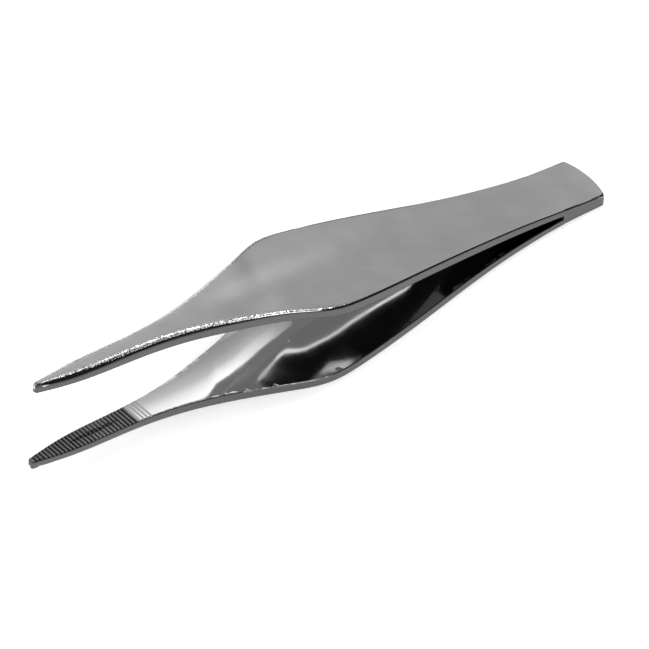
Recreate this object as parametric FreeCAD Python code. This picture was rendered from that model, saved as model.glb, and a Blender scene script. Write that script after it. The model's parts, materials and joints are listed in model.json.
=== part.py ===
"""Thumb forceps: two bowed steel arms, welded at the heel, with a serrated jaw on each.

Each arm is worked out in its own frame first: s runs from the tail to the tip, y across the arm,
and z up from the middle plane that the two arms mirror each other in. The pair is then laid down
as it rests on a table, on the lower arm's belly and tail, with the tips towards -X.
All sizes are in millimetres.
"""
import FreeCAD, Part
import math
import os

Vector = FreeCAD.Vector

# Lengths along the arm, each from the last station to the next
HEEL_LENGTH = 10.0
SPRING_LENGTH = 18.0
GRIP_LENGTH = 16.0
PALM_LENGTH = 14.0
BELLY_LENGTH = 7.0
SHOULDER_LENGTH = 6.5
WAIST_LENGTH = 8.0
NECK_LENGTH = 9.5
THROAT_LENGTH = 10.0
JAW_LENGTH = 8.0
NOSE_LENGTH = 6.5
POINT_LENGTH = 7.1

# Width of the arm at each station
TAIL_WIDTH = 11.6
HEEL_WIDTH = 11.5
SPRING_WIDTH = 14.2
GRIP_WIDTH = 18.9
PALM_WIDTH = 22.6
BELLY_WIDTH = 22.4
SHOULDER_WIDTH = 17.6
WAIST_WIDTH = 12.1
NECK_WIDTH = 7.15
JAW_REAR_WIDTH = 4.85
JAW_WIDTH = 4.45
NOSE_WIDTH = 3.64
TIP_WIDTH = 1.24

# Height of the inner face above the middle plane at each station
SLIT_HALF_HEIGHT = 0.3
SPRING_RISE = 2.05
GRIP_RISE = 4.1
PALM_RISE = 5.7
BELLY_RISE = 6.45
SHOULDER_RISE = 6.9
WAIST_RISE = 6.85
NECK_RISE = 6.85
JAW_REAR_RISE = 6.95
JAW_RISE = 7.1
TIP_RISE = 7.5

# Thickness of the arm through its middle
TAIL_THICKNESS = 1.15
HEEL_THICKNESS = 1.25
GRIP_THICKNESS = 1.75
BELLY_THICKNESS = 1.85
WAIST_THICKNESS = 2.2
JAW_REAR_THICKNESS = 2.3
TIP_THICKNESS = 1.8

# Rounding of the outer edges: how far it reaches in from the side, and how far it drops
ROOT_ROUND_RUN = 0.25
GRIP_ROUND_RUN = 0.45
BELLY_ROUND_RUN = 0.8
WAIST_ROUND_RUN = 1.3
JAW_REAR_ROUND_RUN = 1.4
ROOT_ROUND_DROP = 0.25
GRIP_ROUND_DROP = 0.35
BELLY_ROUND_DROP = 0.5
WAIST_ROUND_DROP = 0.85
JAW_REAR_ROUND_DROP = 1.4
TIP_ROUND_DROP = 1.0
CROWN_FLAT_WIDTH = 0.35
INNER_BEVEL = 0.15

# The ends, seen from above and from the side
TAIL_END_RADIUS = 16.0
TAIL_CORNER_RADIUS = 0.8
HEEL_EDGE_RADIUS = 0.35
TIP_EDGE_RADIUS = 0.5

# Serrations across the jaw's inner face, and the groove along it
TOOTH_PITCH = 0.77
TOOTH_COUNT = 31
TOOTH_MARGIN = 0.7
TOOTH_LAND = 0.25
TOOTH_DEPTH = 0.24
CHANNEL_START = 8.2
CHANNEL_LENGTH = 10.6
CHANNEL_DEPTH = 0.42

# How far a cutter runs past what it cuts, and how closely the sections stand
CUTTER_MARGIN = 3.0
SECTION_STEP = 3.0
JAW_SECTION_STEP = 1.5
FEWEST_SECTIONS = 4
# How far the comb dips between its teeth, as a share of the way to where their flanks would meet
COMB_DIP_SHARE = 0.8
# Rounds of working out the nose's radius, and places looked at for where the belly touches the table
NOSE_ROUNDS = 20
BELLY_PLACES = 600
# Pull of a cubic's middle poles that makes it a quarter of an ellipse
ARC_PULL = 0.5523


def add_up(lengths):
    """Places of the stations, from the lengths between them."""
    places = [0.0]
    for length in lengths:
        places.append(places[-1] + length)
    return places


(TAIL, ROOT, SPRING, GRIP, PALM, BELLY, SHOULDER, WAIST, NECK, JAW_REAR, JAW, NOSE, TIP) = add_up([
    HEEL_LENGTH, SPRING_LENGTH, GRIP_LENGTH, PALM_LENGTH, BELLY_LENGTH, SHOULDER_LENGTH,
    WAIST_LENGTH, NECK_LENGTH, THROAT_LENGTH, JAW_LENGTH, NOSE_LENGTH, POINT_LENGTH])


def rail(stations):
    """A smooth curve through (place, value) stations; its point at parameter s has x equal to s."""
    curve = Part.BSplineCurve()
    curve.interpolate(Points=[Vector(place, value, 0) for place, value in stations],
                      Parameters=[place for place, value in stations])
    return curve


WIDTH_RAIL = rail([(TAIL, TAIL_WIDTH), (ROOT, HEEL_WIDTH), (SPRING, SPRING_WIDTH), (GRIP, GRIP_WIDTH),
                   (PALM, PALM_WIDTH), (BELLY, BELLY_WIDTH), (SHOULDER, SHOULDER_WIDTH),
                   (WAIST, WAIST_WIDTH), (NECK, NECK_WIDTH), (JAW_REAR, JAW_REAR_WIDTH),
                   (JAW, JAW_WIDTH), (NOSE, NOSE_WIDTH), (TIP, TIP_WIDTH)])
RISE_RAIL = rail([(ROOT, SLIT_HALF_HEIGHT), (SPRING, SPRING_RISE), (GRIP, GRIP_RISE), (PALM, PALM_RISE),
                  (BELLY, BELLY_RISE), (SHOULDER, SHOULDER_RISE), (WAIST, WAIST_RISE),
                  (NECK, NECK_RISE), (JAW_REAR, JAW_REAR_RISE), (JAW, JAW_RISE), (TIP, TIP_RISE)])
THICKNESS_RAIL = rail([(ROOT, HEEL_THICKNESS), (GRIP, GRIP_THICKNESS), (BELLY, BELLY_THICKNESS),
                       (WAIST, WAIST_THICKNESS), (JAW_REAR, JAW_REAR_THICKNESS), (TIP, TIP_THICKNESS)])
ROUND_RUN_RAIL = rail([(ROOT, ROOT_ROUND_RUN), (GRIP, GRIP_ROUND_RUN), (BELLY, BELLY_ROUND_RUN),
                       (WAIST, WAIST_ROUND_RUN), (JAW_REAR, JAW_REAR_ROUND_RUN)])
ROUND_DROP_RAIL = rail([(ROOT, ROOT_ROUND_DROP), (GRIP, GRIP_ROUND_DROP), (BELLY, BELLY_ROUND_DROP),
                        (WAIST, WAIST_ROUND_DROP), (JAW_REAR, JAW_REAR_ROUND_DROP),
                        (TIP, TIP_ROUND_DROP)])


def half_width(s):
    """Half the arm's width at s, before its ends are rounded."""
    return WIDTH_RAIL.value(s).y / 2


def tip_radius():
    """Radius of the round that ends the nose, which starts where the arm is as wide as the round."""
    radius = TIP_WIDTH / 2
    for _ in range(NOSE_ROUNDS):
        radius = half_width(TIP - radius)
    return radius


def rise(s):
    """Height of the inner face above the middle plane, ahead of the slit's root."""
    return RISE_RAIL.value(s).y


def outer_height(s):
    """Height of the outer face above the middle plane, ahead of the slit's root."""
    return rise(s) + THICKNESS_RAIL.value(s).y


def section(s):
    """The arm's outline across at s, from one inner edge round the outer face to the other."""
    half = half_width(s)
    low = rise(s)
    high = outer_height(s)
    run = min(ROUND_RUN_RAIL.value(min(s, JAW_REAR)).y, half - CROWN_FLAT_WIDTH / 2)
    drop = ROUND_DROP_RAIL.value(s).y
    right = [Vector(s, half - INNER_BEVEL, low), Vector(s, half, low + INNER_BEVEL),
             Vector(s, half, high - drop), Vector(s, half - run, high)]
    left = [Vector(p.x, -p.y, p.z) for p in right]
    edges = [Part.makeLine(left[0], right[0]), Part.makeLine(right[0], right[1]),
             Part.makeLine(right[1], right[2]), quarter_round(right[2], right[3]),
             Part.makeLine(right[3], left[3]), quarter_round(left[2], left[3]),
             Part.makeLine(left[2], left[1]), Part.makeLine(left[1], left[0])]
    return Part.Wire(Part.sortEdges(edges)[0])


def quarter_round(side, crown):
    """A quarter of an ellipse from the side of the arm up to its outer face, as one cubic."""
    pull = Vector(0, 0, (crown.z - side.z) * ARC_PULL)
    lean = Vector(0, (side.y - crown.y) * ARC_PULL, 0)
    curve = Part.BezierCurve()
    curve.setPoles([side, side + pull, crown + lean, crown])
    return curve.toShape()


def loft(start, end, step):
    """A solid through sections of the arm from start to end, about step apart."""
    count = max(FEWEST_SECTIONS, int(round((end - start) / step)) + 1)
    places = [start + (end - start) * i / (count - 1) for i in range(count)]
    return Part.makeLoft([section(s) for s in places], True, False)


def flip(point):
    """The point's mirror image across the arm."""
    return Vector(point.x, -point.y, point.z)


def tail_outline():
    """The heel from above: an arc across the tail, a round at each corner, and straight sides."""
    radius = TAIL_CORNER_RADIUS
    across = TAIL_WIDTH / 2 - radius
    along = TAIL_END_RADIUS - math.sqrt((TAIL_END_RADIUS - radius) ** 2 - across ** 2)
    turn = math.atan2(across, TAIL_END_RADIUS - along)
    middle = (turn + math.pi / 2) / 2
    touch = Vector(TAIL_END_RADIUS * (1 - math.cos(turn)), TAIL_END_RADIUS * math.sin(turn), 0)
    bend = Vector(along - radius * math.cos(middle), across + radius * math.sin(middle), 0)
    side = Vector(along, TAIL_WIDTH / 2, 0)
    front = Vector(ROOT, HEEL_WIDTH / 2, 0)
    edges = [Part.Arc(flip(touch), Vector(0, 0, 0), touch).toShape(),
             Part.Arc(touch, bend, side).toShape(), Part.makeLine(side, front),
             Part.makeLine(front, flip(front)), Part.makeLine(flip(front), flip(side)),
             Part.Arc(flip(side), flip(bend), flip(touch)).toShape()]
    return Part.Wire(edges)


def build_heel():
    """Half of the welded block at the tail, with its outer edge rounded all round."""
    front_height = SLIT_HALF_HEIGHT + HEEL_THICKNESS
    block = Part.Face(tail_outline()).extrude(Vector(0, 0, front_height))
    slope = (front_height - TAIL_THICKNESS) / HEEL_LENGTH
    reach = TAIL_WIDTH + HEEL_WIDTH
    wedge = [Vector(-CUTTER_MARGIN, -reach, TAIL_THICKNESS - slope * CUTTER_MARGIN),
             Vector(ROOT + CUTTER_MARGIN, -reach, front_height + slope * CUTTER_MARGIN),
             Vector(-CUTTER_MARGIN, -reach, front_height + slope * CUTTER_MARGIN)]
    over = Part.Face(Part.makePolygon(wedge + wedge[:1])).extrude(Vector(0, 2 * reach, 0))
    block = block.cut(over)
    crown = max(block.Faces, key=lambda face: face.CenterOfMass.z)
    rim = [edge for edge in crown.Edges if edge.BoundBox.XMin < ROOT - CUTTER_MARGIN]
    return block.makeFillet(HEEL_EDGE_RADIUS, rim)


def tooth_comb(shift):
    """One cutter for all the notches across the jaw; it dips below the face between them."""
    half = (TOOTH_PITCH - TOOTH_LAND) / 2
    dip = COMB_DIP_SHARE * TOOTH_DEPTH * TOOTH_LAND / (TOOTH_PITCH - TOOTH_LAND)
    foot = half * (1 + dip / TOOTH_DEPTH)
    reach = -JAW_REAR_WIDTH / 2 - CUTTER_MARGIN
    corners = []
    for index in range(TOOTH_COUNT):
        s = TIP - TOOTH_MARGIN - shift - TOOTH_PITCH * index
        face = rise(s)
        corners.append(Vector(s + foot, reach, face - dip))
        corners.append(Vector(s, reach, face + TOOTH_DEPTH))
        corners.append(Vector(s - foot, reach, face - dip))
    for corner in (corners[-1], corners[0]):
        corners.append(Vector(corner.x, reach, corners[-1].z - CUTTER_MARGIN))
    return Part.Face(Part.makePolygon(corners + corners[:1])).extrude(Vector(0, -2 * reach, 0))


def channel_wheel():
    """The vee-edged wheel that leaves a groove with pointed ends along the jaw."""
    near = TIP - CHANNEL_START
    far = near - CHANNEL_LENGTH
    face = (rise(near) + rise(far)) / 2
    radius = (CHANNEL_LENGTH ** 2 / 4 + CHANNEL_DEPTH ** 2) / (2 * CHANNEL_DEPTH)
    centre = Vector((near + far) / 2, 0, face + CHANNEL_DEPTH - radius)
    flare = 2 * CHANNEL_DEPTH
    cheeks = [Part.makeCone(radius, radius - flare, flare, centre, Vector(0, side, 0)) for side in (-1, 1)]
    return cheeks[0].fuse(cheeks[1])


def tip_cutters():
    """What is ground off the nose: its outer corner, and its end to a round."""
    high = outer_height(TIP)
    inset = TIP - TIP_EDGE_RADIUS
    past = TIP + CUTTER_MARGIN
    reach = -TIP_WIDTH - CUTTER_MARGIN
    diagonal = TIP_EDGE_RADIUS * math.sqrt(0.5)
    arc_middle = Vector(inset + diagonal, reach, high - TIP_EDGE_RADIUS + diagonal)
    corners = [Vector(TIP, reach, high - TIP_EDGE_RADIUS), Vector(inset, reach, high),
               Vector(inset, reach, high + CUTTER_MARGIN), Vector(past, reach, high + CUTTER_MARGIN),
               Vector(past, reach, high - TIP_EDGE_RADIUS)]
    edges = [Part.Arc(corners[0], arc_middle, corners[1]).toShape()]
    edges += [Part.makeLine(a, b) for a, b in zip(corners[1:], corners[2:] + corners[:1])]
    outer = Part.Face(Part.Wire(edges)).extrude(Vector(0, -2 * reach, 0))
    radius = tip_radius()
    base = Vector(TIP - radius, reach, 0)
    block = Part.makeBox(radius + CUTTER_MARGIN, -2 * reach, high + CUTTER_MARGIN, base)
    post = Part.makeCylinder(radius, high + CUTTER_MARGIN, Vector(TIP - radius, 0, 0))
    return outer.fuse(block.cut(post))


def build_arm(shift):
    """The upper arm; shift moves its teeth, so that the two jaws mesh."""
    jaw = loft(JAW_REAR, TIP, JAW_SECTION_STEP).cut(tip_cutters())
    jaw = jaw.cut(tooth_comb(shift)).cut(channel_wheel())
    return loft(ROOT, JAW_REAR, SECTION_STEP).fuse([build_heel(), jaw])


def resting_tilt():
    """The angle at which the lower arm's belly and tail both touch the table."""
    places = [ROOT + (WAIST - ROOT) * i / BELLY_PLACES for i in range(BELLY_PLACES + 1)]
    return max(math.atan2(outer_height(s) - TAIL_THICKNESS, s - HEEL_EDGE_RADIUS) for s in places)


def lay_down(shape, tilt):
    """Turn the tips to -X and lower the arms on to the table."""
    placed = shape.copy()
    placed.rotate(Vector(0, 0, 0), Vector(0, 0, 1), 180)
    placed.rotate(Vector(0, 0, 0), Vector(0, 1, 0), math.degrees(tilt))
    return placed


def main():
    os.makedirs("parts", exist_ok=True)
    upper = build_arm(0.0)
    lower = build_arm(TOOTH_PITCH / 2).mirror(Vector(0, 0, 0), Vector(0, 0, 1))
    tilt = resting_tilt()
    arms = {"upper_arm": lay_down(upper, tilt), "lower_arm": lay_down(lower, tilt)}
    box = Part.makeCompound(list(arms.values())).optimalBoundingBox(False, False)
    shift = Vector(-(box.XMin + box.XMax) / 2, -(box.YMin + box.YMax) / 2, -box.ZMin)
    for name, arm in arms.items():
        arm.translate(shift)
        arm.exportStep("parts/" + name + ".step")
        print(name, "solids", len(arm.Solids), "valid", arm.isValid(), "volume", round(arm.Volume, 2))
    turn = FreeCAD.Rotation(Vector(0, 1, 0), math.degrees(tilt))
    root = turn.multVec(Vector(-ROOT, 0, 0)) + shift
    print("slit root", [round(v, 4) for v in root], "tilt", round(math.degrees(tilt), 4))
    print("size", [round(v, 3) for v in (box.XLength, box.YLength, box.ZLength)])


main()
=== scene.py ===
"""Thumb forceps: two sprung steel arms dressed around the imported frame, and the studio they lie in.

Each arm is worked out in its own frame first: s runs from the tail to the tip, y across the arm, and
z up from the middle plane that the arms mirror each other in, all in millimetres. The pair is then laid
down as it rests on a table, tips towards -X, and written in metres in the frame of the CAD.
"""

import json
import logging
import math
from dataclasses import dataclass
from enum import Enum

import bpy
import numpy as np
from mathutils import Matrix, Vector

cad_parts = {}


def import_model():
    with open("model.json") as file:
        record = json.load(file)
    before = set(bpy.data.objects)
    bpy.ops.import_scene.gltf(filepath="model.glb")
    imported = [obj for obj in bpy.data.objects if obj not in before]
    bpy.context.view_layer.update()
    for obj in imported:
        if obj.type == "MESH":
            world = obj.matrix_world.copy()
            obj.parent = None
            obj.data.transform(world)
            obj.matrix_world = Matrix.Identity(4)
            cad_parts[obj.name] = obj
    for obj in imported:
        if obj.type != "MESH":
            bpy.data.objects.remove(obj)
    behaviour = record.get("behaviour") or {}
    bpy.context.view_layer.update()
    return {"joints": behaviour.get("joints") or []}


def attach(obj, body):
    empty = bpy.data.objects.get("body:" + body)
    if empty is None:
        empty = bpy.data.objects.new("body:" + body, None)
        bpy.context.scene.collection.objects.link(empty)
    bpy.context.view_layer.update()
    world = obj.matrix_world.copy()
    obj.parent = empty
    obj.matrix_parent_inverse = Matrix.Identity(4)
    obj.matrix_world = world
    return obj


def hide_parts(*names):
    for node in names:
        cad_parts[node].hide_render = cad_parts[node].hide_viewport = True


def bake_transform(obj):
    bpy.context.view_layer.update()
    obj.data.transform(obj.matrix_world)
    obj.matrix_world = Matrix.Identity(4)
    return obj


LOG = logging.getLogger("forceps")
MM = 0.001
PHOTO_PIXELS = 649
# Brightness of the scrim round the forceps at each elevation in degrees, where 1 is white
SCRIM_LIGHT = ((-1, 0.04), (4, 0.1), (9, 0.35), (14, 0.48), (25, 0.49), (27.7, 0.56), (28.8, 0.55),
               (30, 0.49), (31.2, 0.47), (33.5, 0.54), (36, 0.62), (38, 0.7), (40, 0.76), (44, 0.8),
               (48, 0.75), (52, 0.7), (56, 0.3), (60, 0.05), (70, 0.12), (89.9, 0.12))
# Places along the arm and heights, in mm, of the line on the far card between its white and its grey,
# with the height of the card's top
CARD_EDGE = ((55.0, 7.4, 10.2), (58.0, 7.7, 10.2), (61.0, 7.6, 10.4), (63.5, 8.1, 11.8), (65.5, 8.9, 13.3),
             (68.3, 9.8, 14.8), (70.3, 11.9, 15.5), (74.0, 13.0, 16.0), (90.0, 13.0, 16.0),
             (110.0, 13.0, 16.0))
# Brightness of the white part at shares of its height; it grows from CARD_DIM over the first CARD_FADE mm
CARD_WHITE = ((0.0, 0.45), (0.3, 0.58), (0.55, 0.85), (0.72, 1.4), (1.0, 2.0))
CARD_DIM = 0.4
CARD_FADE = 9.0
# Brightness of the grey part, and how softly the white runs into it, in mm
CARD_GREY = 0.25
CARD_BLUR = 0.25
# Where the cards behind the arms stand across the arm, and their foot, in mm
CARD_BACK = -14.5
CARD_FOOT = 0.8
# Cards beside it: their ends along the arm, their foot and top, in mm, and their brightness
SIDE_CARDS = {"far_scrim": ((50.0, 55.0), (6.4, 10.2), 0.25),
              "far_shade": ((50.0, 55.0), (CARD_FOOT, 6.4), 0.03),
              "far_flag": ((26.0, 50.0), (1.0, 9.0), 0.01)}
# A bright patch just before them: its corners, in mm, and its brightness at each
PATCH = ((((51.0, -14.4, 6.3), 2.2), ((53.2, -14.4, 6.0), 3.0)),
         (((53.9, -14.4, 1.2), 1.0), ((55.6, -14.4, 1.2), 2.0)))
# Lift of each card off the floor, in mm, and its brightness
# floor_rear and floor_dark are painted shade: black sheets where the mirrored floor lies in the arms' shadow
FLOOR_CARDS = {"floor_rear": (0.35, 0.01), "floor_grey": (0.3, 0.38), "floor_dark": (0.4, 0.01),
               "floor_strip": (0.5, 2.6)}
# Where the plain ones start behind each end and where they stop, in mm
FLOOR_REAR = ((-5.0, -6.0), (38.0, -6.0))
FLOOR_GREY = ((37.0, -9.0), (90.0, -12.0))
FLOOR_BACK = -60.0
# Front edge of the dark card, and how far ahead of the white line it reaches there, in mm
DARK_FRONT = -9.0
DARK_AHEAD = 0.6
# Place of the print that a finger left, in mm, in the frame of the CAD
FINGER_MARK = (9.1, -5.1, 13.2)
# Width of the white strip on the floor's card, in mm
STRIP_WIDTH = 0.45
# Places along the arm and distances behind it, in mm, of the white line on the floor's card
FLOOR_LINE = ((35.5, 8.4), (36.6, 9.0), (39.2, 10.1), (41.6, 11.2), (44.2, 12.2), (46.9, 13.1),
              (49.7, 13.7), (52.0, 14.4), (54.0, 15.4), (55.2, 16.1), (56.0, 16.9), (56.6, 18.0),
              (57.0, 19.0), (57.6, 19.4))
# The camera's right, its up and the way back to it, in the arm's own frame
CAMERA_RIGHT = (-0.7886, 0.6125, 0.0543)
CAMERA_UP = (-0.3486, -0.5181, 0.7810)
EYE = (0.5066, 0.5970, 0.6221)
# How far away the scrim and the black flags before it hang, in metres, and the little light of a flag
SCRIM_DISTANCE = 1.3
FLAG_DISTANCE = 1.2
FLAG_LIGHT = 0.015
# Azimuths and elevations of the flags' corners, in degrees
FLAGS = {"near_flag": ((0, 20, 40, 60, 72), (-1, 15, 30, 45, 55)),
         "side_flag": ((71, 85, 100, 119), (15, 25, 34, 46)),
         "far_top_flag": ((142, 170, 200, 230), (46, 55, 64))}
# Places along the upper arm, in mm, of the corners of the card that its near edge mirrors as a line
JAW_LINE = (67.5, 71.5, 79.5, 89, 99, 107, 113.5, 119)
# Values of a noise texture that count as none of a mark and as all of it
NOISE_NONE = 0.35
NOISE_ALL = 0.7
# Where the mesh has rows over each serration, as shares of half its width
TOOTH_STEPS = (-1, -0.66, -0.33, 0, 0.33, 0.66, 1.0)


class Side(Enum):
    """Which arm of the pair, with the sign of its height above the middle plane."""

    UPPER = 1
    LOWER = -1


class Face(Enum):
    """Material slots of an arm's mesh."""

    OUTER = 0
    WALL = 1
    INNER = 2
    TEETH = 3


def linear(code: str) -> tuple[float, float, float, float]:
    """Turn an sRGB hex colour to linear light.

    Args:
        code: colour such as "#9A9B9C".

    Returns:
        Red, green, blue and alpha for a shader's colour socket.
    """
    parts = [int(code[i:i + 2], 16) / 255 for i in (1, 3, 5)]
    light = [c / 12.92 if c <= 0.04045 else ((c + 0.055) / 1.055) ** 2.4 for c in parts]
    return (light[0], light[1], light[2], 1.0)


class Rail:
    """A smooth curve through (place, value) stations: a cubic spline that runs out straight."""

    def __init__(self, *stations: tuple[float, float]) -> None:
        """Solve the spline's bends.

        Args:
            stations: pairs of place and value, in order of place.
        """
        self.places = np.array([place for place, _ in stations])
        self.values = np.array([value for _, value in stations])
        gaps = np.diff(self.places)
        count = len(self.places)
        matrix = np.eye(count)
        right = np.zeros(count)
        for i in range(1, count - 1):
            matrix[i, i - 1:i + 2] = gaps[i - 1], 2 * (gaps[i - 1] + gaps[i]), gaps[i]
            right[i] = 6 * (np.diff(self.values)[i] / gaps[i] - np.diff(self.values)[i - 1] / gaps[i - 1])
        self.bends = np.linalg.solve(matrix, right)

    def __call__(self, s: np.ndarray) -> np.ndarray:
        """Value of the curve at each place, held at the ends.

        Args:
            s: places along the arm.

        Returns:
            The curve's values there.
        """
        s = np.clip(s, self.places[0], self.places[-1])
        i = np.clip(np.searchsorted(self.places, s, side="right") - 1, 0, len(self.places) - 2)
        gap = self.places[i + 1] - self.places[i]
        a = (self.places[i + 1] - s) / gap
        b = 1 - a
        straight = a * self.values[i] + b * self.values[i + 1]
        return straight + ((a ** 3 - a) * self.bends[i] + (b ** 3 - b) * self.bends[i + 1]) * gap ** 2 / 6


@dataclass(frozen=True)
class ArmForm:
    """Sizes and surfaces of one arm, in millimetres, in the arm's own frame."""

    root: float = 10.0
    spring: float = 28.0
    grip: float = 44.0
    palm: float = 58.0
    belly: float = 65.0
    shoulder: float = 71.5
    waist: float = 79.5
    neck: float = 89.0
    jaw_rear: float = 99.0
    jaw: float = 107.0
    nose: float = 113.5
    tip: float = 120.6
    tail_width: float = 11.6
    tail_thickness: float = 1.15
    heel_thickness: float = 1.25
    slit_half_height: float = 0.3
    tail_end_radius: float = 16.0
    tail_corner_radius: float = 0.8
    heel_edge_radius: float = 0.35
    inner_bevel: float = 0.15
    crown_flat_width: float = 0.35
    tooth_pitch: float = 0.77
    tooth_count: int = 31
    tooth_margin: float = 0.7
    tooth_land: float = 0.25
    tooth_depth: float = 0.24
    channel_start: float = 8.2
    channel_length: float = 10.6
    channel_depth: float = 0.42
    hollow: float = 0.35
    crease_reach: float = 4.0
    skin_inset: float = 0.008
    tail_reach: float = 9.0
    tip_reach: float = 3.0
    ripple_narrow: float = 2.2
    ripple_place: float = 0.9
    ripple_ramp: float = 12.0
    # Where the painted highlight streak lies along and across the grip, in mm
    streak_start: float = 52.0
    streak_ramp: float = 10.0
    streak_end: float = 85.5
    streak_fade: float = 8.0
    streak_place: float = -3.0
    streak_lean: float = 0.06
    streak_width: float = 2.2

    def __post_init__(self) -> None:
        """Make the rails from the sizes."""
        rails = {
            "width": Rail((0, self.tail_width), (self.root, 11.5), (self.spring, 14.2), (self.grip, 18.9),
                          (self.palm, 22.6), (self.belly, 22.4), (self.shoulder, 17.6), (self.waist, 12.1),
                          (self.neck, 7.15), (self.jaw_rear, 4.85), (self.jaw, 4.45), (self.nose, 3.64),
                          (self.tip, 1.24)),
            "inner": Rail((self.root, self.slit_half_height), (self.spring, 2.05), (self.grip, 4.1),
                          (self.palm, 5.7), (self.belly, 6.45), (self.shoulder, 6.9), (self.waist, 6.85),
                          (self.neck, 6.85), (self.jaw_rear, 6.95), (self.jaw, 7.1), (self.tip, 7.5)),
            "thickness": Rail((self.root, self.heel_thickness), (self.grip, 1.75), (self.belly, 1.85),
                              (self.waist, 2.2), (self.jaw_rear, 2.3), (self.tip, 1.8)),
            "round_run": Rail((self.root, 0.25), (self.grip, 0.45), (self.belly, 0.8), (self.waist, 1.3),
                              (self.jaw_rear, 1.4)),
            "round_drop": Rail((self.root, 0.25), (self.grip, 0.35), (self.belly, 0.5), (self.waist, 0.85),
                               (self.jaw_rear, 1.4), (self.tip, 1.0)),
        }
        for name, rail in rails.items():
            object.__setattr__(self, name + "_rail", rail)
        # The tip's round just fits between the sides: its radius settles after a few rounds
        radius = 0.9
        for _ in range(30):
            radius = float(self.width_rail(self.tip - radius)) / 2
        object.__setattr__(self, "tip_radius", radius)

    def half_width(self, s: np.ndarray) -> np.ndarray:
        """Half the arm's width at s, before its ends are rounded."""
        return self.width_rail(s) / 2

    def top(self, s: np.ndarray) -> np.ndarray:
        """Height of the outer face at s, along the middle line."""
        heel = self.tail_thickness + s * self.heel_slope()
        return np.where(s < self.root, heel, self.inner_rail(s) + self.thickness_rail(s))

    def heel_slope(self) -> float:
        """Slope of the heel's outer face along the arm."""
        return (self.slit_half_height + self.heel_thickness - self.tail_thickness) / self.root

    def run(self, s: np.ndarray) -> np.ndarray:
        """How far the outer edge's rounding reaches in from the side.

        Args:
            s: places along the arm.

        Returns:
            The reach at each place.
        """
        wanted = np.where(s < self.root, self.heel_edge_radius, self.round_run_rail(s))
        half = self.half_width(np.minimum(s, self.tip - self.tip_radius))
        return np.minimum(wanted, half - self.crown_flat_width / 2)

    def drop(self, s: np.ndarray) -> np.ndarray:
        """How far the outer edge's rounding falls to the side wall."""
        return np.where(s < self.root, self.heel_edge_radius, self.round_drop_rail(s))

    def tail_corner(self) -> tuple[float, float, float]:
        """Centre of the tail's corner round, and the angle at which the end's arc meets it.

        Returns:
            The centre's places along and across the arm, and the angle in radians.
        """
        across = self.tail_width / 2 - self.tail_corner_radius
        along = math.sqrt((self.tail_end_radius - self.tail_corner_radius) ** 2 - across ** 2)
        return self.tail_end_radius - along, across, math.atan2(across, along)

    def tail_row(self, v: np.ndarray) -> tuple[np.ndarray, np.ndarray]:
        """The tail's end as seen from above.

        Args:
            v: place along the end's line, from 0 in the middle to 1 where the straight side starts.

        Returns:
            How far forward of the tail each place is, and how far out.
        """
        corner_s, corner_y, turn = self.tail_corner()
        arc = self.tail_end_radius * turn
        corner = self.tail_corner_radius * (math.pi / 2 - turn)
        way = v * (arc + corner)
        angle = np.minimum(way, arc) / self.tail_end_radius
        bend = turn + np.maximum(way - arc, 0) / self.tail_corner_radius
        on_arc = way <= arc
        s = np.where(on_arc, self.tail_end_radius * (1 - np.cos(angle)),
                     corner_s - self.tail_corner_radius * np.cos(bend))
        y = np.where(on_arc, self.tail_end_radius * np.sin(angle),
                     corner_y + self.tail_corner_radius * np.sin(bend))
        return s, y

    def plan(self, u: np.ndarray, v: np.ndarray) -> tuple[np.ndarray, np.ndarray]:
        """Place in plan of a row and column of the mesh; rows bow to follow both ends.

        Args:
            u: row, as the place along the middle line.
            v: column, from -1 at one side to 1 at the other.

        Returns:
            s and y of each place.
        """
        side = np.sign(v)
        v = np.abs(v)
        tail_s, tail_y = self.tail_row(v)
        fade = np.clip(1 - u / self.tail_reach, 0, 1) ** 2
        s = u + tail_s * fade
        share = v + (tail_y / (self.tail_width / 2) - v) * fade
        near = np.clip(1 - (self.tip - u) / self.tip_reach, 0, 1)
        s = s - self.tip_radius * (1 - np.cos(v * math.pi / 2)) * near
        share = share + (np.sin(v * math.pi / 2) - v) * near
        half = self.half_width(np.minimum(s, self.tip - self.tip_radius))
        return s, side * share * half

    def depth_in(self, s: np.ndarray, y: np.ndarray) -> np.ndarray:
        """Distance from a place in plan to the arm's outline.

        Args:
            s: places along the arm.
            y: places across the arm.

        Returns:
            The distances, 0 on the outline.
        """
        y = np.abs(y)
        centre = self.tip - self.tip_radius
        side = self.half_width(np.minimum(s, centre)) - y
        corner_s, corner_y, _ = self.tail_corner()
        end = self.tail_end_radius - np.hypot(s - self.tail_end_radius, y)
        in_corner = (s < corner_s) & (y > corner_y)
        corner = self.tail_corner_radius - np.hypot(s - corner_s, y - corner_y)
        depth = np.where(s < self.root, np.minimum(side, end), side)
        depth = np.where(in_corner, np.minimum(depth, corner), depth)
        nose = self.tip_radius - np.hypot(s - centre, y)
        depth = np.where(s > centre, nose, depth)
        return np.maximum(depth, 0)

    def outer(self, s: np.ndarray, y: np.ndarray) -> np.ndarray:
        """Height of the outer face, with its rounded edges and its slightly hollow grip.

        Args:
            s: places along the arm.
            y: places across the arm.

        Returns:
            Height above the middle plane.
        """
        bend = np.clip(1 - self.depth_in(s, y) / self.run(s), 0, 1)
        across = np.clip(np.abs(y) / self.half_width(s), 0, 1)
        broad = np.clip((s - self.root) / (self.palm - self.root), 0, 1)
        slim = np.clip((s - self.belly) / (self.neck - self.belly), 0, 1)
        share = broad * broad * (3 - 2 * broad) * (1 - slim * slim * (3 - 2 * slim))
        dip = self.hollow * share * (1 - across ** 2)
        return self.top(s) + self.crease_fill(s) - dip - self.drop(s) * (1 - np.sqrt(1 - bend ** 2))

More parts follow.
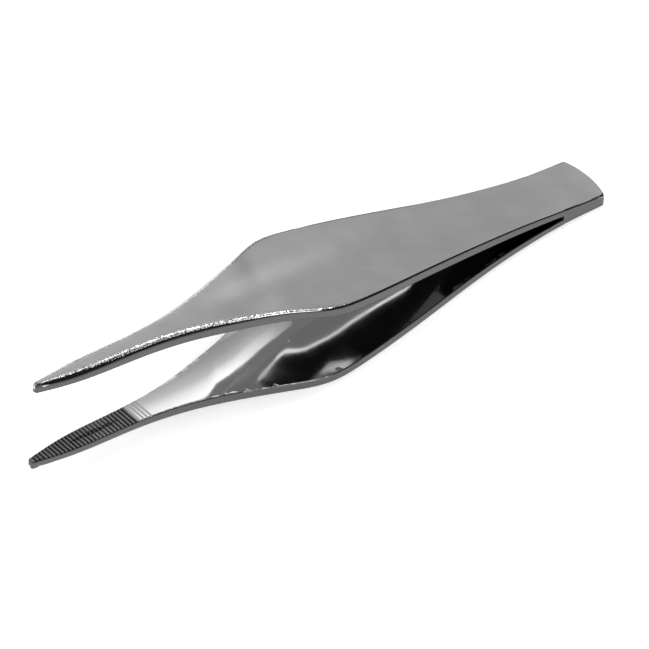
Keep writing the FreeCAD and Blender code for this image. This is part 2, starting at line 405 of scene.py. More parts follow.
    def crease_fill(self, s: np.ndarray) -> np.ndarray:
        """How much higher the outer face lies where the heel runs into the spring, without a crease."""
        kink = float(np.diff(self.top(np.array([self.root, self.root + 1.0])))[0]) - self.heel_slope()
        return kink * np.maximum(self.crease_reach - np.abs(s - self.root), 0) ** 2 / (4 * self.crease_reach)

    def groove(self, s: np.ndarray, shift: float) -> np.ndarray:
        """Depth of the serrations at s.

        Args:
            s: places along the jaw.
            shift: how far the teeth are set back from the tip, so that the jaws mesh.

        Returns:
            Depth below the jaw's face, up to the depth of a tooth.
        """
        place = (self.tip - self.tooth_margin - shift - s) / self.tooth_pitch
        index = np.round(place)
        off = np.abs(place - index) * self.tooth_pitch
        half = (self.tooth_pitch - self.tooth_land) / 2
        cut = self.tooth_depth * np.clip(1 - off / half, 0, 1)
        return np.where((index >= 0) & (index < self.tooth_count), cut, 0)

    def channel(self, s: np.ndarray, y: np.ndarray) -> np.ndarray:
        """Depth of the vee-edged groove along the middle of the jaw.

        Args:
            s: places along the arm.
            y: places across the arm.

        Returns:
            Depth below the jaw's face.
        """
        half = self.channel_length / 2
        radius = (half ** 2 + self.channel_depth ** 2) / (2 * self.channel_depth)
        off = s - (self.tip - self.channel_start - half)
        deep = np.sqrt(np.maximum(radius ** 2 - off ** 2, 0)) - (radius - self.channel_depth)
        return np.maximum(deep - np.abs(y), 0)

    def inner(self, s: np.ndarray, y: np.ndarray, shift: float, ahead: np.ndarray) -> np.ndarray:
        """Height of the inner face.

        Args:
            s: places along the arm.
            y: places across the arm.
            shift: how far the teeth are set back from the tip.
            ahead: true for the places that are ahead of the slit's root.

        Returns:
            Height above the middle plane, which is 0 in the welded heel.
        """
        bevel = np.maximum(self.inner_bevel - self.depth_in(s, y), 0)
        cuts = np.maximum(self.groove(s, shift), self.channel(s, y))
        return np.where(ahead, self.inner_rail(s) + np.maximum(bevel, cuts), 0)

    def hand_ground(self, s: np.ndarray, y: np.ndarray) -> np.ndarray:
        """Share of hand grinding: the middle of the rounded edges ahead of the palm is a little wavy.

        Args:
            s: places along the arm.
            y: places across the arm.

        Returns:
            The share, from 0 to 1.
        """
        outward = 1 - self.depth_in(s, y) / self.run(s)
        bend = np.clip(1 - np.abs(self.ripple_narrow * outward - self.ripple_place), 0, 1)
        ahead = np.clip((s - self.palm + self.ripple_ramp / 2) / self.ripple_ramp, 0, 1)
        return bend * ahead * ahead * (3 - 2 * ahead)

    def streak(self, s: np.ndarray, y: np.ndarray) -> np.ndarray:
        """Share of the painted highlight: a brighter streak along the middle of the grip, painted into the
        colour in place of a reflection the face shows there.

        Args:
            s: places along the arm.
            y: places across the arm.

        Returns:
            The share, from 0 to 1.
        """
        begin = np.clip((s - self.streak_start) / self.streak_ramp, 0, 1)
        along = begin * np.clip((self.streak_end - s) / self.streak_fade, 0, 1)
        middle = self.streak_place + self.streak_lean * (s - self.palm)
        return along * np.exp(-((y - middle) / self.streak_width) ** 2)

    def resting_tilt(self) -> float:
        """Angle at which the lower arm's belly and tail both touch the table."""
        s = np.linspace(self.root, self.waist, 601)
        return float(np.max(np.arctan2(self.top(s) - self.tail_thickness, s - self.heel_edge_radius)))


@dataclass(frozen=True)
class Lie:
    """Where the pair lies: turns the arm's own frame to that of the CAD, in metres."""

    tilt: float
    hinge: tuple[float, float, float]
    root: float

    def place(self, points: np.ndarray) -> np.ndarray:
        """Move points from the arm's frame to the frame of the CAD.

        Args:
            points: rows of s, y and z in millimetres.

        Returns:
            Rows of x, y and z in metres.
        """
        c, s = math.cos(self.tilt), math.sin(self.tilt)
        turn = np.array([[-c, 0, s], [0, -1, 0], [s, 0, c]])
        return (points - np.array([self.root, 0, 0])) @ turn.T * MM + np.array(self.hinge)

    def direction(self, d: tuple[float, float, float]) -> Vector:
        """A direction of the arm's frame, in the frame of the CAD."""
        c, s = math.cos(self.tilt), math.sin(self.tilt)
        return Vector((-c * d[0] + s * d[2], -d[1], s * d[0] + c * d[2]))


def add_node(tree: bpy.types.NodeTree, kind: str, settings: dict | None = None,
             links: dict | None = None) -> bpy.types.Node:
    """Add a node to a material's tree.

    Args:
        tree: the node tree.
        kind: the node's type, such as "ShaderNodeBump".
        settings: values by socket name or number, or by attribute name.
        links: by input's name or number, the (node, output) that feeds it.

    Returns:
        The new node.
    """
    node = tree.nodes.new(kind)
    for name, value in (settings or {}).items():
        if isinstance(name, int) or name in node.inputs:
            node.inputs[name].default_value = value
        else:
            setattr(node, name, value)
    for name, (other, output) in (links or {}).items():
        tree.links.new(other.outputs[output], node.inputs[name])
    return node


@dataclass(frozen=True)
class SteelFinish:
    """Stainless steel with one finish: how bright, how smooth, and the marks that its making left."""

    name: str
    colour: str
    roughness: float
    smudge: float
    line_spacing_mm: float = 0.12
    line_depth_mm: float = 0.0003
    line_squeeze: float = 0.02
    wave_spacing_mm: float = 5.0
    wave_depth_mm: float = 0.004
    hand_depth_mm: float = 0.12
    ripple_spacing_mm: float = 0.3
    smudge_spacing_mm: float = 6.0
    cloud_spacing_mm: float = 7.0
    print_depth_mm: float = 0.012
    print_core_mm: float = 1.6
    print_reach_mm: float = 3.4
    ridge_wave_mm: float = 3.2
    handled_at_mm: tuple[float, float, float] | None = None
    tint: str | None = None
    clouding: float = 0.4

    def build(self) -> bpy.types.Material:
        """Make the material.

        Returns:
            A metal with fine grinding lines, slow waves from hand polishing, and faint smudges.
        """
        material = bpy.data.materials.new(self.name)
        material.use_nodes = True
        tree = material.node_tree
        shader = tree.nodes["Principled BSDF"]
        shader.inputs["Metallic"].default_value = 1.0
        place = add_node(tree, "ShaderNodeTexCoord")
        if self.tint:
            tree.links.new(self.tinted(tree, place).outputs[2], shader.inputs["Base Color"])
        else:
            # The grey of stainless steel, the same all over
            shader.inputs["Base Color"].default_value = linear(self.colour)
        relief = self.relief(tree, place)
        if self.handled_at_mm:
            relief = self.finger_mark(tree, place, relief)
        tree.links.new(relief.outputs[0], shader.inputs["Normal"])
        tree.links.new(self.smudged(tree, place).outputs[0], shader.inputs["Roughness"])
        return material

    def tinted(self, tree: bpy.types.NodeTree, place: bpy.types.Node) -> bpy.types.Node:
        """Mix the tint into the colour: a painted highlight streak outside, painted shade in the serrations.

        Args:
            tree: the material's node tree.
            place: node that gives the place on the object.

        Returns:
            The node that mixes the two colours.
        """
        share = add_node(tree, "ShaderNodeAttribute", {"attribute_name": "tint"})
        # The polish is a little uneven, in clouds
        clouds = add_node(tree, "ShaderNodeTexNoise",
                          {"Scale": 1 / (self.cloud_spacing_mm * MM), "Detail": 4.0},
                          {"Vector": (place, "Object")})
        uneven = add_node(tree, "ShaderNodeMapRange",
                          {"From Min": NOISE_NONE, "From Max": NOISE_ALL, "To Min": 0.0,
                           "To Max": self.clouding}, {"Value": (clouds, 0)})
        both = add_node(tree, "ShaderNodeMath", {"operation": "ADD", "use_clamp": True},
                        {0: (share, "Fac"), 1: (uneven, 0)})
        return add_node(tree, "ShaderNodeMix", {"data_type": "RGBA", 6: linear(self.colour),
                                                7: linear(self.tint)}, {0: (both, 0)})

    def relief(self, tree: bpy.types.NodeTree, place: bpy.types.Node) -> bpy.types.Node:
        """Lay the waves of polishing and grinding over each other, as bumps.

        Args:
            tree: the material's node tree.
            place: node that gives the place on the object.

        Returns:
            The last bump node.
        """
        # Slow waves that the polishing wheel left: they bend what the flats mirror a little
        waves = add_node(tree, "ShaderNodeTexNoise",
                         {"Scale": 1 / (self.wave_spacing_mm * MM), "Detail": 0.0},
                         {"Vector": (place, "Object")})
        slow = add_node(tree, "ShaderNodeBump", {"Strength": 1.0, "Distance": self.wave_depth_mm * MM},
                        {"Height": (waves, 0)})
        # Short waves from grinding by hand, on the rounded edges and the bevel: they break highlights up
        ground = add_node(tree, "ShaderNodeAttribute", {"attribute_name": "hand_ground"})
        ripples = add_node(tree, "ShaderNodeTexNoise",
                           {"Scale": 1 / (self.ripple_spacing_mm * MM), "Detail": 1.0},
                           {"Vector": (place, "Object")})
        height = add_node(tree, "ShaderNodeMath", {"operation": "MULTIPLY"},
                          {0: (ripples, 0), 1: (ground, "Fac")})
        short = add_node(tree, "ShaderNodeBump", {"Strength": 1.0, "Distance": self.hand_depth_mm * MM},
                         {"Height": (height, 0), "Normal": (slow, 0)})
        # Grinding lines along the arm: noise squeezed to the lines' spacing across, and drawn out along
        across = 1 / (self.line_spacing_mm * MM)
        stretch = add_node(tree, "ShaderNodeMapping", {"Scale": (across * self.line_squeeze, across, across)},
                           {"Vector": (place, "Object")})
        lines = add_node(tree, "ShaderNodeTexNoise", {"Scale": 1.0, "Detail": 2.0}, {"Vector": (stretch, 0)})
        return add_node(tree, "ShaderNodeBump", {"Strength": 1.0, "Distance": self.line_depth_mm * MM},
                        {"Height": (lines, 0), "Normal": (short, 0)})

    def smudged(self, tree: bpy.types.NodeTree, place: bpy.types.Node) -> bpy.types.Node:
        """Make the polish a little duller in places.

        Args:
            tree: the material's node tree.
            place: node that gives the place on the object.

        Returns:
            The node that gives the roughness.
        """
        patches = add_node(tree, "ShaderNodeTexNoise",
                           {"Scale": 1 / (self.smudge_spacing_mm * MM), "Detail": 3.0},
                           {"Vector": (place, "Object")})
        return add_node(tree, "ShaderNodeMapRange",
                        {"From Min": NOISE_NONE, "From Max": NOISE_ALL, "To Min": self.roughness,
                         "To Max": self.roughness + self.smudge}, {"Value": (patches, 0)})

    def finger_mark(self, tree: bpy.types.NodeTree, place: bpy.types.Node,
                    under: bpy.types.Node) -> bpy.types.Node:
        """Leave the faint print of a finger on one spot, its ridges drawn coarser than real ones.

        Args:
            tree: the material's node tree.
            place: node that gives the place on the object.
            under: bump node that the print lies over.

        Returns:
            The bump node with the print in it.
        """
        middle = tuple(v * MM for v in self.handled_at_mm)
        away = add_node(tree, "ShaderNodeVectorMath", {"operation": "DISTANCE", 1: middle},
                        {0: (place, "Object")})
        spot = add_node(tree, "ShaderNodeMapRange",
                        {"From Min": self.print_core_mm * MM, "From Max": self.print_reach_mm * MM,
                         "To Min": 1.0, "To Max": 0.0}, {"Value": (away, "Value")})
        ridges = add_node(tree, "ShaderNodeTexWave",
                          {"Scale": 1 / (self.ridge_wave_mm * MM), "Distortion": 2.2, "Detail": 1.0,
                           "Detail Scale": 0.6, "bands_direction": "DIAGONAL"},
                          {"Vector": (place, "Object")})
        height = add_node(tree, "ShaderNodeMath", {"operation": "MULTIPLY"},
                          {0: (ridges, 1), 1: (spot, 0)})
        return add_node(tree, "ShaderNodeBump", {"Strength": 1.0, "Distance": self.print_depth_mm * MM},
                        {"Height": (height, 0), "Normal": (under, 0)})


@dataclass
class Arm:
    """One arm of the forceps, built as a closed skin over its formulas."""

    form: ArmForm
    lie: Lie
    side: Side
    name: str
    node: str
    teeth_shift: float
    finishes: dict[Face, bpy.types.Material]
    edge_columns: int = 10
    crown_columns: int = 13
    wall_levels: int = 5
    polished_grooves: int = 3
    turn_rows: int = 9
    heel_rows: int = 26
    row_spacing: float = 0.4
    root_step: float = 0.02
    closest_rows: float = 0.012
    nose_share: float = 0.8
    # Columns of the rounded edge, and length of the nose, that take the walls' dull finish with its painted
    # shade
    dull_shaded_columns_rear: int = 4
    dull_shaded_columns_ahead: int = 3
    dull_shaded_nose: float = 1.0
    sharp_angle: float = 28.0
    bevel_ripple: float = 0.6

    def rows(self) -> np.ndarray:
        """Places of the mesh's rows along the middle line, close together where the form is fine.

        Returns:
            The places, in order, in millimetres.
        """
        f = self.form
        turn = np.linspace(0, math.pi / 2, self.turn_rows)
        tail = f.heel_edge_radius * (1 - np.cos(turn))
        heel = np.linspace(f.heel_edge_radius, f.root, self.heel_rows)[1:]
        first = f.tip - f.tooth_margin - self.teeth_shift - f.tooth_pitch * (f.tooth_count - 1)
        half = (f.tooth_pitch - f.tooth_land) / 2
        start = first - half
        body = np.linspace(f.root + self.root_step, start, int((start - f.root) / self.row_spacing))
        teeth = [first + f.tooth_pitch * index + half * np.array(TOOTH_STEPS)
                 for index in range(f.tooth_count)]
        nose = f.tip - f.tip_radius * self.nose_share * (1 - np.sin(turn))
        rows = np.unique(np.round(np.concatenate([tail, heel, body, *teeth, nose]), 4))
        keep = np.concatenate([[True], np.diff(rows) > self.closest_rows])
        keep[-1] = True
        return rows[keep & (rows <= f.tip)]

    def columns(self, u: np.ndarray, outer: bool) -> np.ndarray:
        """Columns of the mesh for each row, from -1 to 1, close together over the rounded edge.

        Args:
            u: rows of the mesh, as places along the middle line.
            outer: true for the outer face, whose rounding is broader.

        Returns:
            A row of columns for each row.
        """
        half = self.form.half_width(np.minimum(u, self.form.tip - self.form.tip_radius))
        edge = self.form.run(u) if outer else np.full_like(u, self.form.inner_bevel)
        flat = np.linspace(0, 1, self.crown_columns)[None, :] * (1 - edge / half)[:, None]
        turn = np.linspace(0, math.pi / 2, self.edge_columns + 1)[1:]
        rounded = 1 - (edge / half)[:, None] * (1 - np.sin(turn))[None, :]
        right = np.concatenate([flat, rounded], axis=1)
        return np.concatenate([-right[:, :0:-1], right], axis=1)

    def build(self) -> bpy.types.Object:
        """Make the arm's mesh and object.

        Returns:
            The arm, placed in the frame of the CAD.
        """
        u = self.rows()
        grids, masks = self.skins(u)
        loop = self.outline(*grids[0].shape[:2])
        points = [grid.reshape(-1, 3) for grid in grids]
        shares = [level / self.wall_levels for level in range(1, self.wall_levels)]
        walls = [points[0][loop] * (1 - share) + points[1][loop] * share for share in shares]
        quads, kinds = self.faces(u, grids[0].shape[1], loop)
        everything = np.concatenate(points + walls)
        if self.side is Side.LOWER:
            everything = everything * np.array([1, 1, -1])
            quads = quads[:, ::-1]
        mesh = bpy.data.meshes.new(self.name)
        mesh.from_pydata(self.lie.place(everything).tolist(), [], quads.tolist())
        mesh.polygons.foreach_set("material_index", kinds.astype(np.int32))
        mesh.polygons.foreach_set("use_smooth", np.ones(len(quads), bool))
        mesh.set_sharp_from_angle(angle=math.radians(self.sharp_angle))
        for face in Face:
            mesh.materials.append(self.finishes[face])
        for name, pair in masks.items():
            mask = mesh.attributes.new(name, "FLOAT", "POINT")
            values = np.concatenate([m.ravel() for m in pair] + [np.zeros(len(loop) * len(walls))])
            mask.data.foreach_set("value", values.astype(np.float32))
        mesh.update()
        arm = bpy.data.objects.new(self.name, mesh)
        bpy.context.scene.collection.objects.link(arm)
        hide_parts(self.node)
        LOG.info("%s: %d faces", self.name, len(quads))
        return arm

    def skins(self, u: np.ndarray) -> tuple[list[np.ndarray], dict[str, list[np.ndarray]]]:
        """Points of the outer face and of the inner one, with the masks that the finishes read.

        Args:
            u: rows of the mesh, as places along the middle line.

        Returns:
            A grid of points for each face, and for each mask its values on both.
        """
        f = self.form
        columns = 2 * (self.crown_columns + self.edge_columns) - 1
        ahead = np.repeat((u > f.root + self.root_step / 2)[:, None], columns, axis=1)
        grids, ground, tint = [], [], []
        for outer in (True, False):
            v = self.columns(u, outer)
            s, y = f.plan(np.repeat(u[:, None], v.shape[1], axis=1), v)
            if outer:
                z = f.outer(s, y) - f.skin_inset
                ground.append(f.hand_ground(s, y))
                # Outside, the tint is a painted highlight: a brighter streak along the grip
                tint.append(f.streak(s, y))
            else:
                z = f.inner(s, y, self.teeth_shift, ahead)
                ground.append((f.depth_in(s, y) < f.inner_bevel) * self.bevel_ripple)
                # Inside, the tint is painted shade, darkest at the bottom of each groove
                tint.append(f.groove(s, self.teeth_shift) / f.tooth_depth)
            s = f.skin_inset + s * (1 - 2 * f.skin_inset / f.tip)
            y = y * (1 - f.skin_inset / f.tail_width)
            grids.append(np.stack([s, y, z], axis=-1))
        return grids, {"hand_ground": ground, "tint": tint}

    def faces(self, u: np.ndarray, count_v: int, loop: np.ndarray) -> tuple[np.ndarray, np.ndarray]:
        """Faces outside and inside, and rings of faces for the walls between them.

        Args:
            u: rows of the mesh.
            count_v: number of its columns.
            loop: indices of the outer grid's border.

        Returns:
            The corners of each face, and the slot of its finish.
        """
        size = len(u) * count_v
        index = np.arange(size).reshape(len(u), count_v)
        a, b = index[:-1, :-1].ravel(), index[1:, :-1].ravel()
        c, d = index[1:, 1:].ravel(), index[:-1, 1:].ravel()
        quads = [np.stack([a, b, c, d], axis=1), np.stack([a, d, c, b], axis=1) + size]
        kinds = [self.outer_kinds(u, count_v), self.inner_kinds(u, count_v)]
        starts = [2 * size + level * len(loop) for level in range(self.wall_levels - 1)]
        rings = [loop] + [start + np.arange(len(loop)) for start in starts] + [loop + size]
        for above, below in zip(rings[:-1], rings[1:]):
            quads.append(np.stack([above, np.roll(above, -1), np.roll(below, -1), below], axis=1))
            kinds.append(np.full(len(loop), Face.WALL.value))
        return np.concatenate(quads), np.concatenate(kinds)

    def inner_kinds(self, u: np.ndarray, count_v: int) -> np.ndarray:
        """Finish of each face inside: polished, with the serrations apart, and the bevel in the walls' dull
        finish with its painted shade.

        Args:
            u: rows of the mesh, as places along the middle line.
            count_v: number of the mesh's columns.

        Returns:
            The slot of each face's finish.
        """
        f = self.form
        rear = f.tip - f.tooth_margin - f.tooth_pitch * (f.tooth_count - self.polished_grooves - 0.5)
        toothed = np.repeat(u[:-1] > rear, count_v - 1)
        kinds = np.where(toothed, Face.TEETH.value, Face.INNER.value).reshape(-1, count_v - 1)
        # The bevel takes the walls' dull finish and painted shade, but for a polished stretch at the belly
        bevel = (u[:-1] < f.palm) | (u[:-1] > f.waist)
        kinds[bevel, :self.edge_columns] = Face.WALL.value
        kinds[bevel, -self.edge_columns:] = Face.WALL.value
        return kinds.ravel()

    def outer_kinds(self, u: np.ndarray, count_v: int) -> np.ndarray:
        """Finish of each face outside: the lower part of the rounded edges takes the walls' dull finish and
        painted shade.

        Args:
            u: rows of the mesh, as places along the middle line.
            count_v: number of the mesh's columns.

        Returns:
            The slot of each face's finish.
        """
        kinds = np.full((len(u) - 1, count_v - 1), Face.OUTER.value)
        columns = np.minimum(np.arange(count_v - 1), np.arange(count_v - 1)[::-1])
        rear = u[:-1] < self.form.belly
        kinds[np.ix_(rear, columns < self.dull_shaded_columns_rear)] = Face.WALL.value
        kinds[np.ix_(~rear, columns < self.dull_shaded_columns_ahead)] = Face.WALL.value
        nose = u[:-1] > self.form.tip - self.dull_shaded_nose
        kinds[np.ix_(nose, columns < self.edge_columns)] = Face.WALL.value
        return kinds.ravel()

    @staticmethod
    def outline(count_u: int, count_v: int) -> np.ndarray:
        """Indices of a grid's border, in order round it."""
        index = np.arange(count_u * count_v).reshape(count_u, count_v)
        return np.concatenate([index[0, :], index[1:, -1], index[-1, -2::-1], index[-2:0:-1, 0]])


@dataclass(frozen=True)
class Studio:
    """The pale floor, the soft lights, and the cards that the polished steel mirrors."""

    lie: Lie
    form: ArmForm
    pixels_per_mm: float = 5.8587
    distance_mm: float = 3333.0
    middle_mm: float = 60.0
    aim_offset_mm: tuple[float, float] = (1.784, -3.815)
    sensor_mm: float = 36.0
    room_light: float = 0.75
    floor_reach: float = 4.0
    floor_lift: float = 0.42

    def camera(self) -> None:
        """Set the camera where the photograph was taken from, level of roll included."""
        right = self.lie.direction(CAMERA_RIGHT)
        up = self.lie.direction(CAMERA_UP)
        back = right.cross(up).normalized()
        middle = self.point((self.middle_mm, 0.0, 0.0))
        across, rise = self.aim_offset_mm
        aim = middle + right * across * MM + up * rise * MM
        data = bpy.data.cameras.new("photo_camera")
        data.sensor_width = self.sensor_mm
        data.lens = data.sensor_width * self.pixels_per_mm * self.distance_mm / PHOTO_PIXELS
        data.clip_end = 100.0
        camera = bpy.data.objects.new("photo_camera", data)
        turn = Matrix((right.normalized(), back.cross(right).normalized(), back)).transposed()
        camera.matrix_world = Matrix.Translation(aim + back * self.distance_mm * MM) @ turn.to_4x4()
        bpy.context.scene.collection.objects.link(camera)
        bpy.context.scene.camera = camera

    def card(self, name: str, rows: list[list[tuple[Vector, float]]]) -> None:
        """Stand a card or scrim that only the steel sees.

        Args:
            name: the card's name.
            rows: rows of corners, each a place in metres and a brightness, where 1 is white.
        """
        width = len(rows[0])
        points = [tuple(place) for row in rows for place, _ in row]
        faces = [(i * width + j, i * width + j + 1, (i + 1) * width + j + 1, (i + 1) * width + j)
                 for i in range(len(rows) - 1) for j in range(width - 1)]
        mesh = bpy.data.meshes.new(name)
        mesh.from_pydata(points, [], faces)
        glow = mesh.attributes.new("glow", "FLOAT", "POINT")
        glow.data.foreach_set("value", [light for row in rows for _, light in row])
        card = bpy.data.objects.new(name, mesh)
        bpy.context.scene.collection.objects.link(card)
        material = bpy.data.materials.new(name + "_paint")
        material.use_nodes = True
        tree = material.node_tree
        tree.nodes.remove(tree.nodes["Principled BSDF"])
        light = add_node(tree, "ShaderNodeAttribute", {"attribute_name": "glow"})
        paint = add_node(tree, "ShaderNodeEmission", {"Color": (1, 1, 1, 1)}, {"Strength": (light, "Fac")})
        tree.links.new(paint.outputs[0], tree.nodes["Material Output"].inputs["Surface"])
        mesh.materials.append(material)
        card.visible_camera = False
        card.visible_diffuse = False
        card.visible_shadow = False

    @staticmethod
    def around(azimuth: float, elevation: float, distance: float) -> Vector:
        """A place round the forceps: azimuth 0 is towards -Y and 90 towards +X, in degrees."""
        a, e = math.radians(azimuth), math.radians(elevation)
        return Vector((math.sin(a) * math.cos(e), -math.cos(a) * math.cos(e), math.sin(e))) * distance

    def scrim(self) -> None:
        """Hang a grey scrim all round, and black flags before it."""
        self.card("scrim", [[(self.around(step * 15, elevation, SCRIM_DISTANCE), light)
                             for step in range(25)] for elevation, light in SCRIM_LIGHT])
        for name, (azimuths, elevations) in FLAGS.items():
            self.card(name, [[(self.around(azimuth, elevation, FLAG_DISTANCE), FLAG_LIGHT)
                              for azimuth in azimuths] for elevation in elevations])

    def jaw_line(self, reach: float = 40.0, turns: tuple[float, float] = (44.0, 16.0), width: float = 7.0,
                 light: float = 2.6) -> None:
        """Hang a narrow card where the upper arm's near edge mirrors it to the eye, as one line.

        Args:
            reach: how far the card hangs from the edge, in mm.
            turns: how far the part of the edge that mirrors it is turned down, in degrees, at the first
                station and at the last.
            width: how much more it is turned at the line's lower side, in degrees.
            light: the card's brightness.
        """
        form, step = self.form, 0.5
        eye = np.array(EYE) / np.linalg.norm(EYE)
        rows = []
        for extra in (0.0, width):
            row = []
            for s in JAW_LINE:
                turn = math.radians(float(np.interp(s, (JAW_LINE[0], JAW_LINE[-1]), turns)) + extra)
                lean, rise = math.sin(turn), math.cos(turn)
                near = np.array([s - step, s + step])
                height = form.top(near)
                narrowing = -np.diff(form.half_width(near))[0] / (2 * step)
                slope = np.diff(height)[0] / (2 * step)
                normal = np.array([narrowing * lean - slope * rise, lean, rise])
                normal = normal / np.linalg.norm(normal)
                way = 2 * float(normal @ eye) * normal - eye
                edge = np.array([s, form.half_width(near).mean(), height.mean()])
                row.append((tuple(edge + way * reach), light))
            rows.append(row)
        self.arm_card("jaw_line", rows)

    def arm_card(self, name: str, rows: list[list[tuple[tuple[float, float, float], float]]]) -> None:
        """Stand a card whose corners are given in the arm's own frame."""
        self.card(name, [[(self.point(p), light) for p, light in row] for row in rows])

    def far_cards(self) -> None:
        """Stand the small cards behind the arms, which the inner faces mirror."""
        rows = []
        for share, light in CARD_WHITE:
            row = []
            for s, edge, _ in CARD_EDGE:
                full = min(max((s - CARD_EDGE[0][0]) / CARD_FADE, 0.0), 1.0) ** 1.5
                row.append(((s, CARD_BACK, CARD_FOOT + (edge - CARD_FOOT) * share),
                            CARD_DIM + (light - CARD_DIM) * full))
            rows.append(row)
        rows.append([((s, CARD_BACK, edge + CARD_BLUR), CARD_GREY) for s, edge, _ in CARD_EDGE])
        rows.append([((s, CARD_BACK, max(top, edge + CARD_BLUR + 0.05)), CARD_GREY)
                     for s, edge, top in CARD_EDGE])
        self.arm_card("far_card", rows)
        for name, (ends, heights, light) in SIDE_CARDS.items():
            self.arm_card(name, [[((s, CARD_BACK, z), light) for s in ends] for z in heights])
        self.arm_card("far_patch", PATCH)

    def floor_cards(self) -> None:
        """Lay the cards behind the arms just over the floor, with the white line between dark and grey; the
        dark cards are painted shade for the floor in shadow beside and behind the arms, as the steel mirrors
        it.
        """
        line = [(s, -y) for s, y in FLOOR_LINE]
        outer = []
        for i, (s, y) in enumerate(line):
            before, after = line[max(i - 1, 0)], line[min(i + 1, len(line) - 1)]
            ds, dy = after[0] - before[0], after[1] - before[1]
            reach = STRIP_WIDTH / math.hypot(ds, dy)
            outer.append((s + dy * reach, y - ds * reach))
        edges = {"floor_rear": ([(s, FLOOR_BACK) for s, _ in FLOOR_REAR], FLOOR_REAR),
                 "floor_grey": ([(s, FLOOR_BACK) for s, _ in FLOOR_GREY], FLOOR_GREY),
                 "floor_dark": (line, [(s + DARK_AHEAD, DARK_FRONT) for s, _ in line]),
                 "floor_strip": (outer, line)}
        for name, (lift, light) in FLOOR_CARDS.items():
            raised = Vector((0, 0, lift * MM))
            self.card(name, [[(self.point((s, y, None)) + raised, light) for s, y in row]
                             for row in edges[name]])

    def point(self, p: tuple[float, float, float | None]) -> Vector:
        """A place of the arm's frame, in the frame of the CAD.

        Args:
            p: place along and across the arm, and its height, in mm; a height of None is the floor's.

        Returns:
            The place in metres.
        """
        s, y, z = p
        place = Vector(self.lie.place(np.array([[s, y, z or 0.0]]))[0])
        if z is None:
            place.z = 0.0
        return place

    def floor(self) -> None:
        """Lay the pale floor: white to the eye and the steel, with the soft shadow kept."""
        mesh = bpy.data.meshes.new("floor")
        reach = self.floor_reach
        mesh.from_pydata([(-reach, -reach, 0), (reach, -reach, 0), (reach, reach, 0), (-reach, reach, 0)],
                         [], [(0, 1, 2, 3)])
        floor = bpy.data.objects.new("floor", mesh)
        bpy.context.scene.collection.objects.link(floor)
        material = bpy.data.materials.new("white_paper")
        material.use_nodes = True
        tree = material.node_tree
        shader = tree.nodes["Principled BSDF"]
        shader.inputs["Base Color"].default_value = linear("#F4F4F4")
        shader.inputs["Roughness"].default_value = 0.9
        shader.inputs["Specular IOR Level"].default_value = 0.0
        # The eye and the steel see the paper as white, and its shadow stays
        tree.links.new(self.seen(tree, 0.0, self.floor_lift), shader.inputs["Emission Strength"])
        shader.inputs["Emission Color"].default_value = (1, 1, 1, 1)
        mesh.materials.append(material)

    @staticmethod
    def seen(tree: bpy.types.NodeTree, unseen: float, level: float) -> bpy.types.NodeSocket:
        """A strength for what the camera and mirrored rays see, and another for all other rays.

        Args:
            tree: the material's node tree.
            unseen: strength for all other rays.
            level: strength for what is seen.

        Returns:
            The socket that gives the strength.
        """
        path = add_node(tree, "ShaderNodeLightPath")
        eye = add_node(tree, "ShaderNodeMath", {"operation": "MAXIMUM"},
                       {0: (path, "Is Camera Ray"), 1: (path, "Is Glossy Ray")})
        both = add_node(tree, "ShaderNodeMath", {"operation": "MAXIMUM"},
                        {0: (eye, 0), 1: (path, "Is Transmission Ray")})
        share = add_node(tree, "ShaderNodeMapRange", {"To Min": unseen, "To Max": level},
                         {"Value": (both, 0)})
        return share.outputs[0]

    def lamp(self, name: str, azimuth: float, elevation: float, distance: float, size: float,
             power: float) -> None:
        """Hang a soft lamp that points at the forceps.

        Args:
            name: the lamp's name.
            azimuth: 0 is towards -Y and 90 towards +X, in degrees.
            elevation: how high it hangs, in degrees.
            distance: how far away it hangs, in metres.
            size: the disk's diameter, in metres.
            power: its power, in watts.
        """
        out = self.around(azimuth, elevation, 1.0)
        data = bpy.data.lights.new(name, "AREA")
        data.shape = "DISK"
        data.size = size
        data.energy = power
        lamp = bpy.data.objects.new(name, data)
        lamp.location = out * distance
        lamp.rotation_mode = "QUATERNION"
        lamp.rotation_quaternion = (-out).to_track_quat("-Z", "Y")
        bpy.context.scene.collection.objects.link(lamp)

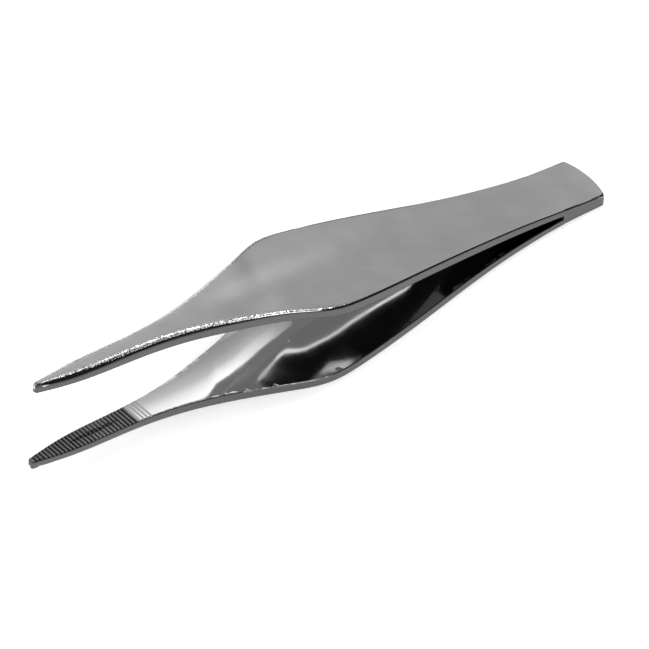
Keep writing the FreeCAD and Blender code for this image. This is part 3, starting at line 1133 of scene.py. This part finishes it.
    def world(self) -> None:
        """Fill the room with soft light, white to the eye and to the steel."""
        world = bpy.data.worlds.new("room")
        bpy.context.scene.world = world
        world.use_nodes = True
        tree = world.node_tree
        ground = tree.nodes["Background"]
        ground.inputs["Color"].default_value = (1, 1, 1, 1)
        tree.links.new(self.seen(tree, self.room_light, 1.0), ground.inputs["Strength"])

    def build(self) -> None:
        """Set up the camera, the floor, the room and the lights."""
        bpy.context.scene.view_settings.view_transform = "Standard"
        self.camera()
        self.floor()
        self.world()
        self.lamp("window", azimuth=88, elevation=65, distance=0.95, size=0.24, power=1.6)
        self.scrim()
        self.far_cards()
        self.floor_cards()
        self.jaw_line()


def main() -> None:
    """Build the forceps around the frame, then the studio."""
    logging.basicConfig(level=logging.INFO, format="%(message)s")
    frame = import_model()
    hinge = tuple(frame["joints"][0]["pos_m"])
    form = ArmForm()
    lie = Lie(form.resting_tilt(), hinge, form.root)
    # Outside, sheet polished on a wheel: a soft grey mirror, a little cloudy, with a finger's print and a
    # painted highlight streak along the grip
    polished = SteelFinish("polished_stainless_steel", colour="#C8C8C8", roughness=0.06, smudge=0.04,
                           handled_at_mm=FINGER_MARK, tint="#E2E2E2").build()
    # The sides, ground on a belt: dull, without a mirror, and dark grey, partly as painted shade for the
    # shaded floor they face
    satin_and_shade = SteelFinish("ground_edge_with_painted_shade", colour="#686868", roughness=0.3, smudge=0.05,
                        line_depth_mm=0.001).build()
    # Inside, the brighter polish: nearly a mirror
    inside = SteelFinish("polished_stainless_inside", colour="#C8C8C8", roughness=0.04, smudge=0.03).build()
    # The serrations, cut and left as they are: darker, with painted shade deepest in the grooves
    serrated = SteelFinish("serrated_stainless", colour="#7C7C7C", roughness=0.2, smudge=0.04,
                           hand_depth_mm=0.0, tint="#161616").build()
    finishes = {Face.OUTER: polished, Face.WALL: satin_and_shade, Face.INNER: inside, Face.TEETH: serrated}
    lower = Arm(form, lie, Side.LOWER, "lower_arm_steel", "lower_arm", form.tooth_pitch / 2,
                finishes).build()
    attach(lower, "lower_arm")
    upper = Arm(form, lie, Side.UPPER, "upper_arm_steel", "upper_arm", 0.0, finishes).build()
    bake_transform(upper)
    Studio(lie, form).build()


if __name__ == "__main__":
    main()
